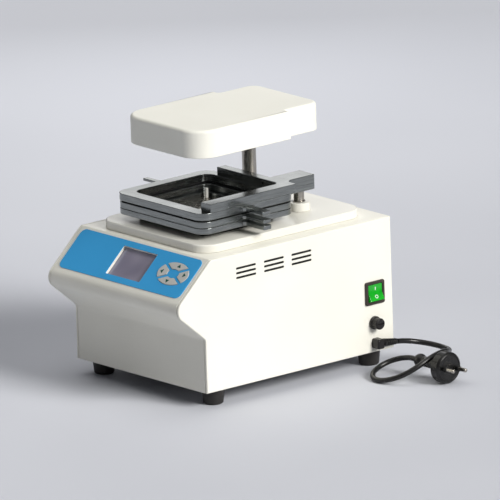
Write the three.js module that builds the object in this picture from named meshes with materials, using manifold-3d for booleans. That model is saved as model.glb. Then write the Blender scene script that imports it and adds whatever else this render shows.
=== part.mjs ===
// Desktop sealing machine with a lifting heated head over a swing-open clamp frame.
// Millimetres, +Z up. The machine is drawn about its own centre plane (x = 0, front at -y)
// and the finished group is moved so that its footprint is centred on the origin.
import * as THREE from 'three';
import { mergeVertices } from 'three/addons/utils/BufferGeometryUtils.js';
import Module from 'manifold-3d';

const wasm = await Module();
wasm.setup();

// ---- driving dimensions -------------------------------------------------------------
const GAP = 0.3;                       // clearance left between neighbouring pieces
const ARC_STEP = 15 * Math.PI / 180;   // largest turn between two points of a rounded corner
const ROUND = 32;                      // sides of a turned piece

const HALF_WIDTH = 120;                // outside of the side panels
const FRONT = -145;                    // lower front wall
const REAR = 145;
const FOOT_HEIGHT = 19.4;
const HOUSING_TOP = 180;
const SHEET = 1.5;                     // bent sheet and rear panel
const SIDE_SHEET = 3.5;
const BREAK_Z = 85;                    // where the lower front wall starts to lean forward
const NOSE = [-192.7, 125.5];          // sharp corner of the nose in y, z
const SLOPE_TOP = -133.2;              // y at which the control slope meets the top

const COVER_HALF = HALF_WIDTH - SIDE_SHEET - GAP;
const FLOOR_PLATE = 2;
const FOOT_X = 100;
const FOOT_Y = [-120, 122];

const PLATFORM = { x: 98.5, front: -124.5, rear: 126, corner: 25, top: 190.1 };
const FRAME = { x: 81, front: -112, rear: 34, corner: 16 };
const FRAME_FLOOR = 198;               // underside of the lowest frame
const FRAME_SPLIT = 205.5;             // between the bottom and the middle frame
const FRAME_MID_TOP = 213;
const CLAMP_FLOOR = 214.8;
const CLAMP_TOP = 223.5;
const RAIL_TOP = 234;                  // raised rail, crossbar and arm
const RAIL_WIDTH = 17;
const CROSSBAR = 12.5;
const CROSSBAR_END = -49;
const ARM = { x0: 34, x1: 62, rear: 79, floor: 216 };
const POST = { x: 47, y: 66, r: 6.25 };
const COLUMN = { x: -45, y: 68, r: 8.5 };
const TAB = { y: -41, half: 6, reach: 116, flare: 3 };

const HEAD = { x: 71, front: -107, waist: 38, rearX: 61, rear: 93, floor: 286, top: 320 };
const HEAD_WALL = 2.5;
const PLATEN = { x: 51, front: -84, rear: 10, floor: 281 };

const SWITCH = { y: 116.3, z: 92.2, halfY: 14.7, halfZ: 14.2, pocketY: 11, pocketZ: 10.8 };
const ROCKER = { x: 120.8, r: 10.4, flat: 1.4, half: 10.6 };
const FUSE = { y: 115, z: 55.6, tip: 132 };
const GLAND = { x: 127.2, y: 115.5, z: 30.8, depth: 5, halfY: 5.2, halfZ: 6 };
const OUTSIDE = HALF_WIDTH + GAP;      // inner face of what is fitted on the right panel
const VENT = { z: [162.3, 156.5, 150.8], y: [-80, -36.8, 5.8], half: 15.4, r: 1.35 };

const KEY_PLAY = 0.35;                 // gap between a key and its opening
const KEY_RING = { x: 76.5, v: -30, a: 26.5, b: 16.2, inner: 0.36, spoke: 1.5, slope: 0.53 };
const LCD = { x0: -29, x1: 32.8, v0: -52, v1: -11, depth: 3.2 };
const OVERLAY = { x: 110.5, v0: -60, v1: -3.2, corner: 8, t: 0.6 };

const PLUG = { y: 127, z: 19.4, bulb: 188.4, bulbR: 8.2, disc: 226, face: 241, r: 19 };
const PIN = { r: 2.4, length: 19, side: 9.5, drop: 1.2 };
const CORD_R = 3.2;
// Route of the mains lead: out of the strain relief, over the plug's neck, down to the table,
// round a loop and up into the plug's bulb.
const CORD_ROUTE = [
  [127.2, 143.8, 28.3], [127.4, 152.8, 27], [129, 163.1, 25], [133.5, 172.8, 22.8],
  [141.1, 180.4, 20.9], [150.9, 184.8, 19.6], [161.8, 185.4, 19.2], [172.4, 182.5, 19.9],
  [182.1, 177.1, 21.4], [190.5, 170, 23.6], [197.7, 161.7, 26.1], [203.9, 152.6, 28.5],
  [208.9, 142.6, 30.2], [212.4, 131.9, 30.5], [214.2, 121, 28.7], [214, 110.2, 24.9],
  [211.6, 100, 20], [207, 90.7, 14.8], [199.9, 82.5, 10], [190.5, 76.1, 6.3],
  [179.2, 72.6, 4], [167, 73.6, 3.3], [156, 79.5, 4.3], [148.6, 89.5, 6.8],
  [146.3, 101.5, 10.3], [149.6, 113.2, 14.1], [157.9, 122.3, 17.3], [169.4, 126.8, 19.2],
  [179.8, 127, 19.4],
];

// ---- materials ----------------------------------------------------------------------
const paint = (color, roughness, metalness) => new THREE.MeshStandardMaterial({
  color, roughness, metalness,
});
const WHITE = paint(0xf2f0ea, 0.35, 0);
const BLUE = paint(0x3c8fbe, 0.4, 0);
const KEY_GREY = paint(0xcdcdc8, 0.5, 0);
const SCREEN = paint(0x766e82, 0.2, 0);
const ALUMINIUM = paint(0x8d9296, 0.35, 0.9);
const STEEL = paint(0x9b948a, 0.3, 0.9);
const BLACK = paint(0x24211f, 0.6, 0);
const GREEN = paint(0x0aaa14, 0.3, 0);
const BOARD = paint(0x1f5a34, 0.6, 0);
const INSULATION = paint(0xc9bfa5, 0.9, 0);
const BRASS = paint(0xb08d4a, 0.35, 0.9);

// ---- shape helpers ------------------------------------------------------------------
// Corner list [a, b, radius] -> points, each corner turned into an arc of its radius.
function rounded(corners, closed = true) {
  const points = [];
  corners.forEach(([a, b, radius = 0], i) => {
    const here = new THREE.Vector2(a, b);
    const isEnd = !closed && (i === 0 || i === corners.length - 1);
    if (!radius || isEnd) {
      points.push(here);
      return;
    }
    const before = corners[(i + corners.length - 1) % corners.length];
    const after = corners[(i + 1) % corners.length];
    const back = new THREE.Vector2(before[0], before[1]).sub(here).normalize();
    const on = new THREE.Vector2(after[0], after[1]).sub(here).normalize();
    const half = Math.acos(back.dot(on)) / 2;
    const centre = back.clone().add(on).normalize().multiplyScalar(radius / Math.sin(half)).add(here);
    const reach = radius / Math.tan(half);
    const first = back.multiplyScalar(reach).add(here).sub(centre);
    const last = on.multiplyScalar(reach).add(here).sub(centre);
    const turn = Math.atan2(first.cross(last), first.dot(last));
    const steps = Math.max(2, Math.ceil(Math.abs(turn) / ARC_STEP));
    for (let k = 0; k <= steps; k += 1) {
      points.push(first.clone().rotateAround(new THREE.Vector2(), turn * k / steps).add(centre));
    }
  });
  return points;
}

const rectangle = (x0, x1, y0, y1, r = 0) => rounded([
  [x0, y0, r], [x1, y0, r], [x1, y1, r], [x0, y1, r],
]);

const ellipse = (x, y, a, b, n = ROUND) => Array.from({ length: n }, (_, i) => {
  const angle = 2 * Math.PI * i / n;
  return new THREE.Vector2(x + a * Math.cos(angle), y + b * Math.sin(angle));
});

const disc = (x, y, r, n = ROUND) => ellipse(x, y, r, r, n);

// Flat outline raised along +Z from z0 to z1, with optional holes.
function plate(outline, z0, z1, holes = []) {
  const shape = new THREE.Shape(outline);
  holes.forEach((hole) => shape.holes.push(new THREE.Path(hole)));
  const geometry = new THREE.ExtrudeGeometry(shape, { depth: z1 - z0, bevelEnabled: false });
  return geometry.translate(0, 0, z0);
}

// Outline in (y, z) raised along +X.
function sidePlate(outline, x0, x1, holes = []) {
  const turn = new THREE.Matrix4().makeBasis(
    new THREE.Vector3(0, 1, 0),
    new THREE.Vector3(0, 0, 1),
    new THREE.Vector3(1, 0, 0),
  );
  return plate(outline, x0, x1, holes).applyMatrix4(turn);
}

// Outline in (x, z) raised along -Y, from the rear face y1 to the front face y0.
function frontPlate(outline, y0, y1, holes = []) {
  return plate(outline, -y1, -y0, holes).rotateX(Math.PI / 2);
}

const block = (x0, x1, y0, y1, z0, z1) => plate(rectangle(x0, x1, y0, y1), z0, z1);

// Profile of [radius, height] turned about +Z.
function turned(profile, n = ROUND) {
  const points = profile.map(([r, z]) => new THREE.Vector2(r, z));
  return new THREE.LatheGeometry(points, n).rotateX(Math.PI / 2);
}

// Profile of [radius, distance] turned about +X.
const turnedAlongX = (profile, n = ROUND) => turned(profile, n).rotateY(Math.PI / 2);

function toManifold(geometry) {
  const bare = geometry.clone();
  bare.deleteAttribute('normal');
  bare.deleteAttribute('uv');
  const merged = mergeVertices(bare, 1e-4);
  return new wasm.Manifold(new wasm.Mesh({
    numProp: 3,
    vertProperties: new Float32Array(merged.attributes.position.array),
    triVerts: new Uint32Array(merged.index.array),
  }));
}

function toGeometry(manifold) {
  const mesh = manifold.getMesh();
  const geometry = new THREE.BufferGeometry();
  geometry.setAttribute('position', new THREE.BufferAttribute(mesh.vertProperties, 3));
  geometry.setIndex(new THREE.BufferAttribute(mesh.triVerts, 1));
  return geometry;
}

function cut(base, ...tools) {
  return toGeometry(tools.reduce((solid, tool) => solid.subtract(toManifold(tool)), toManifold(base)));
}

function join(...parts) {
  return toGeometry(parts.map(toManifold).reduce((whole, part) => whole.add(part)));
}

// ---- assembly -----------------------------------------------------------------------
const machine = new THREE.Group();
const slope = new THREE.Group();       // local x across, y up the control slope, z out of it
slope.position.set(0, SLOPE_TOP, HOUSING_TOP);
slope.rotation.x = Math.atan2(HOUSING_TOP - NOSE[1], SLOPE_TOP - NOSE[0]);
machine.add(slope);

const onCord = /^(power_cord|cord_|plug_)/;    // the lead and what is on it

function add(name, geometry, material, parent = machine) {
  const mesh = new THREE.Mesh(geometry, material);
  mesh.name = name;
  parent.add(mesh);
}

// ---- housing ------------------------------------------------------------------------
// The housing's side outline, moved inwards by an inset.
function housingOutline(inset) {
  const slopeLean = slope.rotation.x;
  const underLean = Math.atan2(NOSE[1] - BREAK_Z, FRONT - NOSE[0]);
  const noseHalf = (slopeLean + underLean) / 2;
  const noseTurn = (slopeLean - underLean) / 2;
  const pull = inset / Math.sin(noseHalf);
  return [
    [REAR, FOOT_HEIGHT, 0],
    [FRONT + inset, FOOT_HEIGHT, 0],
    [FRONT + inset, BREAK_Z + inset * Math.tan(Math.PI / 4 - underLean / 2), 6 + inset],
    [NOSE[0] + pull * Math.cos(noseTurn), NOSE[1] + pull * Math.sin(noseTurn), 14 - inset],
    [SLOPE_TOP + inset * Math.tan(slopeLean / 2), HOUSING_TOP - inset, 4 - inset],
    [REAR, HOUSING_TOP - inset, 0],
  ];
}

function keyOutline(sideways, clearance) {
  const { x, v, a, b, inner, spoke, slope: rise } = KEY_RING;
  const length = Math.hypot(1, rise);
  const away = (spoke + clearance) * length;
  const edge = (ea, eb) => {
    const size = Math.hypot(eb, ea * rise);
    const lean = Math.atan2(ea * rise, eb);
    return sideways ? lean - Math.asin(away / size) : lean + Math.asin(away / size);
  };
  const outer = [a - clearance, b - clearance];
  const core = [a * inner + clearance, b * inner + clearance];
  const arc = ([ea, eb], reverse) => {
    const from = sideways ? -edge(ea, eb) : edge(ea, eb);
    const to = sideways ? edge(ea, eb) : Math.PI - edge(ea, eb);
    const points = Array.from({ length: 9 }, (_, i) => {
      const angle = from + (to - from) * i / 8;
      return new THREE.Vector2(ea * Math.cos(angle), eb * Math.sin(angle));
    });
    return reverse ? points.reverse() : points;
  };
  return { centre: [x, v], points: [...arc(outer, false), ...arc(core, true)] };
}

const KEYS = [
  { name: 'key_up', sideways: false, flip: 1 },
  { name: 'key_down', sideways: false, flip: -1 },
  { name: 'key_right', sideways: true, flip: 1 },
  { name: 'key_left', sideways: true, flip: -1 },
];

function keyPoints(key, clearance) {
  const { centre, points } = keyOutline(key.sideways, clearance);
  return points.map((p) => new THREE.Vector2(centre[0] + key.flip * p.x, centre[1] + key.flip * p.y));
}

const keyHoles = () => KEYS.map((key) => keyPoints(key, 0));
const lcdHole = () => rectangle(LCD.x0, LCD.x1, LCD.v0, LCD.v1);

function addHousing() {
  const outer = rounded(housingOutline(0), false).slice(1);
  const inner = rounded(housingOutline(SHEET), false).slice(1);
  const skin = sidePlate([...outer, ...inner.reverse()], -COVER_HALF, COVER_HALF);
  slope.updateMatrixWorld(true);
  const openings = [lcdHole(), ...keyHoles()]
    .map((hole) => plate(hole, -SHEET - 1, 1).applyMatrix4(slope.matrixWorld));
  const columnHole = plate(disc(COLUMN.x, COLUMN.y, COLUMN.r + 1), HOUSING_TOP - 5, HOUSING_TOP + 5);
  add('front_top_cover', cut(skin, ...openings, columnHole), WHITE);

  const wall = rounded(housingOutline(0));
  add('side_panel_left', sidePlate(wall, -HALF_WIDTH, -HALF_WIDTH + SIDE_SHEET), WHITE);
  add('side_panel_right', sidePlate(wall, HALF_WIDTH - SIDE_SHEET, HALF_WIDTH, panelHoles()), WHITE);

  const rear = REAR - SHEET;
  const under = HOUSING_TOP - SHEET - GAP;
  add('rear_panel', block(-COVER_HALF, COVER_HALF, rear, REAR, FOOT_HEIGHT, under), WHITE);
  const floorFront = FRONT + SHEET + GAP;
  const floorTop = FOOT_HEIGHT + FLOOR_PLATE;
  add('base_plate', block(-COVER_HALF, COVER_HALF, floorFront, rear - GAP, FOOT_HEIGHT, floorTop), STEEL);
}

function panelHoles() {
  const { half, r } = VENT;
  const vents = VENT.z.flatMap((z) => VENT.y.map(
    (y) => rectangle(y - half, y + half, z - r, z + r, r * 0.98),
  ));
  const switchHole = rectangle(SWITCH.y - 12.8, SWITCH.y + 12.8, SWITCH.z - 12.3, SWITCH.z + 12.3, 1);
  return [...vents, switchHole, disc(FUSE.y, FUSE.z, 6.7, 24), disc(GLAND.y, GLAND.z, 5.5, 24)];
}

function addFeet() {
  const profile = [[0, 0], [10.6, 0], [11.8, 1.2], [14.2, FOOT_HEIGHT - GAP], [0, FOOT_HEIGHT - GAP]];
  for (const [side, x] of [['left', -FOOT_X], ['right', FOOT_X]]) {
    for (const [end, y] of [['front', FOOT_Y[0]], ['rear', FOOT_Y[1]]]) {
      add(`foot_${end}_${side}`, turned(profile).translate(x, y, 0), BLACK);
    }
  }
}

// ---- control slope ------------------------------------------------------------------
function addControls() {
  const { x, v0, v1, corner, t } = OVERLAY;
  const windows = [lcdHole(), ...keyHoles()].map((hole) => plate(hole, -1, t + 1));
  const sheet = plate(rectangle(-x, x, v0, v1, corner), 0.05, t);
  add('panel_overlay', cut(sheet, ...windows), BLUE, slope);
  const behind = -SHEET - GAP;
  const border = (margin) => rectangle(
    LCD.x0 - margin, LCD.x1 + margin, LCD.v0 - margin, LCD.v1 + margin,
  );
  add('lcd_frame', plate(border(3), -LCD.depth, behind, [lcdHole()]), WHITE, slope);
  const lens = -LCD.depth - GAP;
  add('lcd_lens', plate(border(3), lens - 1.2, lens), SCREEN, slope);
  add('lcd_module', plate(border(4), lens - 7.5, lens - 1.5), BLACK, slope);
  add('control_board', plate(rectangle(-45, 108, -59, -5), -15, -13.4), BOARD, slope);
  for (const key of KEYS) {
    add(key.name, plate(keyPoints(key, KEY_PLAY), -4, 1.2), KEY_GREY, slope);
  }
}

// ---- right-hand fittings ------------------------------------------------------------
function addSwitch() {
  const { y, z, halfY, halfZ, pocketY, pocketZ } = SWITCH;
  const face = rectangle(y - halfY, y + halfY, z - halfZ, z + halfZ, 2);
  const flange = sidePlate(face, OUTSIDE, OUTSIDE + 2.4);
  const box = sidePlate(rectangle(y - 12.4, y + 12.4, z - 12, z + 12, 1), 100, OUTSIDE + 1);
  const opening = rectangle(y - pocketY, y + pocketY, z - pocketZ, z + pocketZ);
  const pocket = sidePlate(opening, 107, OUTSIDE + 5);
  add('switch_housing', cut(join(flange, box), pocket), BLACK);
  const bar = frontPlate(rockerOutline(), y - ROCKER.half, y + ROCKER.half);
  add('switch_rocker', bar.translate(ROCKER.x, 0, z), GREEN);
}

// A round bar about the pivot, with an upright flat above and a leaning flat below.
function rockerOutline() {
  const { r, flat } = ROCKER;
  const top = Math.acos(flat / r);
  const low = -0.95;
  const back = -2.2;
  const onBar = (angle) => new THREE.Vector2(r * Math.cos(angle), r * Math.sin(angle));
  const belly = [0, 1, 2, 3, 4].map((k) => onBar(low + (back - low) * k / 4));
  return [onBar(top), new THREE.Vector2(flat, 0), ...belly, onBar(-back)];
}

function addFuse() {
  const holder = [
    [0, 92], [6.3, 92], [6.3, OUTSIDE], [7.5, OUTSIDE], [7.5, 124], [5.7, 124], [5.7, 96], [0, 96],
  ];
  add('fuse_holder', turnedAlongX(holder, 24).translate(0, FUSE.y, FUSE.z), BLACK);
  const cap = [
    [0, 99], [5.2, 99], [5.2, 124.3], [6.9, 124.3], [6.9, FUSE.tip - 1], [6, FUSE.tip], [0, FUSE.tip],
  ];
  const slot = block(FUSE.tip - 1.6, FUSE.tip + 1, -0.8, 0.8, -5, 5);
  add('fuse_cap', cut(turnedAlongX(cap, 24), slot).translate(0, FUSE.y, FUSE.z), BLACK);
}

function addGland() {
  const { x, y, z, depth, halfY, halfZ } = GLAND;
  const body = block(OUTSIDE, x + depth, y - halfY, y + halfY, z - halfZ, z + halfZ);
  const stem = turnedAlongX([[0, 105], [4.8, 105], [4.8, OUTSIDE + 2], [0, OUTSIDE + 2]], 24);
  add('cord_gland', join(body, stem.translate(0, y, z)), BLACK);
  const cone = turned([[0, 0], [5, 0], [5, 4], [3.9, 21.5], [0, 21.5]], 20);
  cone.rotateX(-Math.PI / 2 - 0.1).translate(x, y + halfY + 2 * GAP, z);
  add('cord_strain_relief', cone, BLACK);
}

function addCord() {
  const points = CORD_ROUTE.map((p) => new THREE.Vector3(...p));
  const route = new THREE.CatmullRomCurve3(points, false, 'centripetal');
  const section = new THREE.Shape(disc(0, 0, CORD_R, 8));
  const steps = Math.round(route.getLength() / (5 * CORD_R));
  const tube = new THREE.ExtrudeGeometry(section, { steps, bevelEnabled: false, extrudePath: route });
  add('power_cord', tube, BLACK);
}

function addPlug() {
  const { y, z, bulb, bulbR, disc: back, face, r } = PLUG;
  const neck = 6.2;
  const ball = [0, 1, 2, 3, 4, 5, 6].map((k) => {
    const angle = Math.PI * (1 - 0.13 * k);
    return [bulbR * Math.sin(angle), bulb + bulbR * Math.cos(angle)];
  });
  ball[0][0] = 0;
  const sleeve = [...ball, [neck, bulb + 7], [neck, back - 4 - GAP], [0, back - 4 - GAP]];
  add('plug_boot', turnedAlongX(sleeve, 24).translate(0, y, z), BLACK);
  const body = turnedAlongX([
    [0, back - 4], [neck + 1, back - 4], [neck + 6, back - 1.5], [r - 2, back], [r, back + 2],
    [r, face - 1.5], [r - 1.5, face], [0, face],
  ]);
  add('plug_body', body.translate(0, y, z), BLACK);
  for (const [name, side] of [['plug_pin_front', -1], ['plug_pin_rear', 1]]) {
    const root = face + GAP;
    const tip = face + PIN.length;
    const pin = turnedAlongX([
      [0, root], [PIN.r, root], [PIN.r, tip - 2], [PIN.r - 1, tip], [0, tip],
    ], 16);
    add(name, pin.translate(0, y + side * PIN.side, z - side * PIN.drop), STEEL);
  }
}

// ---- inside the housing -------------------------------------------------------------
function addInside() {
  const floor = FOOT_HEIGHT + FLOOR_PLATE + GAP;
  add('power_supply', block(20, 95, -60, 60, floor, floor + 42), STEEL);
  add('drive_motor', turned([[0, floor], [21, floor], [21, floor + 34], [0, floor + 34]])
    .translate(COLUMN.x, COLUMN.y, 0), STEEL);
  const under = HOUSING_TOP - SHEET - GAP;
  const tube = turned([
    [9.2, floor + 34 + GAP], [14, floor + 34 + GAP], [14, under], [9.2, under], [9.2, floor + 34 + GAP],
  ]);
  add('guide_tube', tube.translate(COLUMN.x, COLUMN.y, 0), ALUMINIUM);
}

// ---- platform and frames ------------------------------------------------------------
function frameOutline(inset = 0) {
  const { x, front, rear, corner } = FRAME;
  return rectangle(-x + inset, x - inset, front + inset, rear - inset, corner - inset);
}

function addPlatform() {
  const { x, front, rear, corner, top } = PLATFORM;
  const floor = HOUSING_TOP + GAP;
  const columnHole = disc(COLUMN.x, COLUMN.y, COLUMN.r + 1);
  add('platform', plate(rectangle(-x, x, front, rear, corner), floor, top, [columnHole]), WHITE);
  const collar = turned([
    [COLUMN.r + 0.4, top + GAP], [14, top + GAP], [14, top + 5], [12.5, top + 6.5],
    [COLUMN.r + 0.4, top + 6.5], [COLUMN.r + 0.4, top + GAP],
  ]);
  add('column_bush', collar.translate(COLUMN.x, COLUMN.y, 0), BRASS);
  add('frame_riser', plate(rectangle(-62, 62, -93, 15, 6), top + GAP, FRAME_FLOOR - GAP), BLACK);
}

// A finger tab that flares where it meets the frame's side at x = root.
function tabOutline(root, side = 1, reach = TAB.reach, half = TAB.half) {
  const flare = half + TAB.flare;
  const neck = TAB.flare - 0.1;
  return rounded([
    [side * root, TAB.y - flare, 0], [side * (root + neck), TAB.y - half, neck / 2],
    [side * reach, TAB.y - half, 2], [side * reach, TAB.y + half, 2],
    [side * (root + neck), TAB.y + half, neck / 2], [side * root, TAB.y + flare, 0],
  ]);
}

function addFrames() {
  const nest = rectangle(-54, 52, -83, 9, 6);
  const holes = [];
  for (let i = -3; i <= 3; i += 1) {
    for (let j = -2; j <= 2; j += 1) {
      holes.push(disc(-1 + i * 9, -37 + j * 9, 2.6, 8));
    }
  }
  add('bottom_frame', plate(frameOutline(0.5), FRAME_FLOOR, FRAME_SPLIT - GAP, [nest]), ALUMINIUM);
  const floor = rectangle(-53.6, 51.6, -82.6, 8.6, 5.6);
  add('nest_plate', plate(floor, FRAME_FLOOR, FRAME_FLOOR + 2, holes), STEEL);
  const ledge = rectangle(-60, 58, -89, 15, 8);
  add('middle_frame', plate(frameOutline(0.5), FRAME_SPLIT, FRAME_MID_TOP, [ledge]), ALUMINIUM);
  const inside = rectangle(-66, 64, -95, 21, 10);
  const seal = plate(frameOutline(3), FRAME_MID_TOP + GAP, CLAMP_FLOOR - GAP, [inside]);
  add('frame_seal', seal, BLACK);
  const pinFloor = FRAME_FLOOR + 2 + GAP;
  for (const [side, x] of [['left', -48], ['right', 46]]) {
    for (const [end, y] of [['front', -77], ['rear', 3]]) {
      const pin = turned([[0, pinFloor], [2.2, pinFloor], [2.2, 211], [1.4, 212], [0, 212]], 16);
      add(`nest_pin_${end}_${side}`, pin.translate(x, y, 0), WHITE);
    }
  }
  const tab = tabOutline(FRAME.x - 0.5 + GAP);
  add('finger_tab_bottom', plate(tab, 198.6, 203.8), ALUMINIUM);
  add('finger_tab_middle', plate(tab, 206.6, 211), ALUMINIUM);
}

function addClamp() {
  const opening = rectangle(-66, 64, -95, 21, 12);
  add('clamp_frame', plate(frameOutline(), CLAMP_FLOOR, CLAMP_TOP, [opening]), ALUMINIUM);
  const { x, front, rear } = FRAME;
  const inside = x - RAIL_WIDTH;
  const rail = [
    [inside, front + 13, 0], [x, front + 13, 0], [x, rear, 3], [ARM.x1, rear, 10], [ARM.x1, ARM.rear, 2],
    [ARM.x0, ARM.rear, 2], [ARM.x0, rear, 2], [CROSSBAR_END, rear, 0], [CROSSBAR_END, rear - CROSSBAR, 0],
    [inside, rear - CROSSBAR, 8],
  ];
  const bars = plate(rounded(rail), CLAMP_TOP + GAP, RAIL_TOP);
  const arm = plate(rounded([
    [ARM.x0, rear + GAP, 0], [ARM.x1, rear + GAP, 0], [ARM.x1, ARM.rear, 2], [ARM.x0, ARM.rear, 2],
  ]), ARM.floor, RAIL_TOP - 1);
  const bore = plate(disc(POST.x, POST.y, POST.r + 0.35), ARM.floor - 1, RAIL_TOP - 5);
  add('swing_arm', cut(join(bars, arm), bore), ALUMINIUM);
  add('finger_tab_upper', plate(tabOutline(x + GAP, 1, TAB.reach - 1), 216.6, 221), ALUMINIUM);
  add('finger_tab_left', plate(tabOutline(x + GAP, -1, 108, 4), 219.5, 222.5), ALUMINIUM);
}

function addPost() {
  const { x, y, r } = POST;
  const floor = PLATFORM.top + GAP;
  const boss = turned([
    [r + 0.2, floor], [13, floor], [13, floor + 9], [12, floor + 10], [r + 0.2, floor + 10],
    [r + 0.2, floor],
  ]);
  add('post_boss', boss.translate(x, y, 0), WHITE);
  const collar = floor + 10 + GAP;
  const post = turned([
    [0, floor], [r, floor], [r, collar], [r + 1.3, collar], [r + 1.3, collar + 1.5], [r, collar + 1.5],
    [r, RAIL_TOP - 6.5], [0, RAIL_TOP - 6.5],
  ]);
  add('swing_post', post.translate(x, y, 0), STEEL);
}

// ---- press head ---------------------------------------------------------------------
function headOutline(inset) {
  const { x, front, waist, rearX, rear } = HEAD;
  return rounded([
    [-x + inset, front + inset, 30 - inset], [x - inset, front + inset, 30 - inset],
    [x - inset, waist - inset, 0], [rearX - inset, waist - inset, 0],
    [rearX - inset, rear - inset, 15 - inset], [-rearX + inset, rear - inset, 15 - inset],
    [-rearX + inset, waist - inset, 0], [-x + inset, waist - inset, 0],
  ]);
}

function addHead() {
  const { floor, top } = HEAD;
  const shell = plate(headOutline(0), floor, top);
  const hollow = plate(headOutline(HEAD_WALL), floor - 5, top - HEAD_WALL);
  add('head_cover', cut(shell, hollow), WHITE);
  const base = floor + 0.5;
  const hole = disc(COLUMN.x, COLUMN.y, COLUMN.r + GAP);
  add('head_base_plate', plate(headOutline(HEAD_WALL + GAP), base, base + 3, [hole]), ALUMINIUM);
  const { x, front, rear } = PLATEN;
  add('heater_platen', plate(rectangle(-x, x - 1, front, rear, 6), PLATEN.floor, base - GAP), ALUMINIUM);
  const above = base + 3 + GAP;
  add('insulation_board', plate(rectangle(-x, x - 1, front, rear, 4), above, above + 6), INSULATION);
  const clamp = plate(rectangle(COLUMN.x - 12.8, COLUMN.x + 20, 50, 80, 4), above, above + 22, [hole]);
  add('head_bracket', clamp, ALUMINIUM);
  const column = turned([
    [0, 108], [COLUMN.r - 1, 108], [COLUMN.r, 109], [COLUMN.r, above + 21], [0, above + 21],
  ]);
  add('press_column', column.translate(COLUMN.x, COLUMN.y, 0), STEEL);
}

// ---- build --------------------------------------------------------------------------
addHousing();
addFeet();
addControls();
addSwitch();
addFuse();
addGland();
addCord();
addPlug();
addInside();
addPlatform();
addFrames();
addClamp();
addPost();
addHead();

// Centre the footprint of everything but the lead and its ends on the origin.
machine.updateMatrixWorld(true);
const footprint = new THREE.Box3();
machine.traverse((piece) => {
  if (piece.isMesh && !onCord.test(piece.name)) {
    footprint.expandByObject(piece, true);
  }
});
const middle = footprint.getCenter(new THREE.Vector3());
machine.position.set(-middle.x, -middle.y, 0);

export default machine;
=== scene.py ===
"""A desktop sealing machine: white housing, milled frames, a lifting head and a mains lead.

Shapes are drawn in the machine's own millimetres, with x = 0 on the centre plane and the front
at -y, and MACHINE places them in the frame's metres. Most plates come from slab(), which extrudes
an outline and rounds its rims, and round parts come from turned(). Outlines run counter-clockwise.
"""
import math

import bmesh
import bpy
from mathutils import Matrix, Vector
from mathutils.geometry import tessellate_polygon


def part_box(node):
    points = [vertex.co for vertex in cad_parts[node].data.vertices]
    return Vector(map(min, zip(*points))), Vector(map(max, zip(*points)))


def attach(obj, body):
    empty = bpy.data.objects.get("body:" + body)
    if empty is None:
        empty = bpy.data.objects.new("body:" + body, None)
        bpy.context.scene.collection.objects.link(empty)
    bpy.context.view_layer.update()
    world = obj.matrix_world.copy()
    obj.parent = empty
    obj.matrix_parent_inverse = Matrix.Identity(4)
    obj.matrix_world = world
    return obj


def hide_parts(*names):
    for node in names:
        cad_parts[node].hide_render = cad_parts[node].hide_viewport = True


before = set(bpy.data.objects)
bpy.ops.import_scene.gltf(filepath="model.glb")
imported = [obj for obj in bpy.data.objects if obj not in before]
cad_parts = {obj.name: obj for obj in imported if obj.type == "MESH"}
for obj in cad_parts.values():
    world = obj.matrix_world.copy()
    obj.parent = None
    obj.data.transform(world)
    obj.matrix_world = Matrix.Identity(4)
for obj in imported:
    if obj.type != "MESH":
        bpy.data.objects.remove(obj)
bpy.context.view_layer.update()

# ---- camera and light settings -------------------------
CAMERA = dict(azimuth=50.08, elevation=14.77, roll=1.83, lens=1468.8, sensor=36, distance=24)
CAMERA_AIM = dict(across=0.04976, upward=0.16965)  # metres from the housing's front right corner
# name, kind, direction it comes from, energy, size in degrees or metres, colour, distance
LIGHTS = (
    ("key", "SUN", (0.83, 0.17, 0.49), 3.45, 26, (1, 0.985, 0.95), 3),
    ("top", "SUN", (-0.1, 0.0, 1), 0.8, 60, (1, 0.99, 0.97), 3),
    ("rear_softbox", "AREA", (-0.742, 0.621, 0.262), 1.75, 0.75, (1, 1, 1), 1.6),
)
STUDIO = dict(low=(0.24, 0.235, 0.228, 1), high=(0.60, 0.62, 0.66, 1), high_at=0.9, strength=0.28)
FLOOR_RADIUS = 9  # metres

# ---- dimensions, in machine millimetres ---------------
GAP = 0.3  # between neighbouring parts
SHARP = math.radians(38)  # faces that meet at more than this keep a hard edge
HALF_WIDTH = 120
FRONT, REAR = -145, 145
FOOT_HEIGHT = 19.4
HOUSING_TOP = 180
SHEET, SIDE_SHEET = 1.5, 3.5
SIDE_EDGE = 1.7  # rounding of the side panels' outer edges
BREAK_Z = 85
NOSE = (-192.7, 125.5)
SLOPE_TOP = -133.2
COVER_HALF = HALF_WIDTH - SIDE_SHEET - GAP
SEAM = 0.6  # more room between the cover and each side panel
FOOT_X, FOOT_Y = 100, (-120, 122)
FOOT_PROFILE = [(10.6, 0.1, 1.2), (12, 1.5, 1.2), (14.1, FOOT_HEIGHT - GAP, 0.6)]
REAR_VENT = dict(x=(-58, 0, 58), z=range(60, 126, 8), half_x=20, half_z=1.4, corner=1.35)

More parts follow.
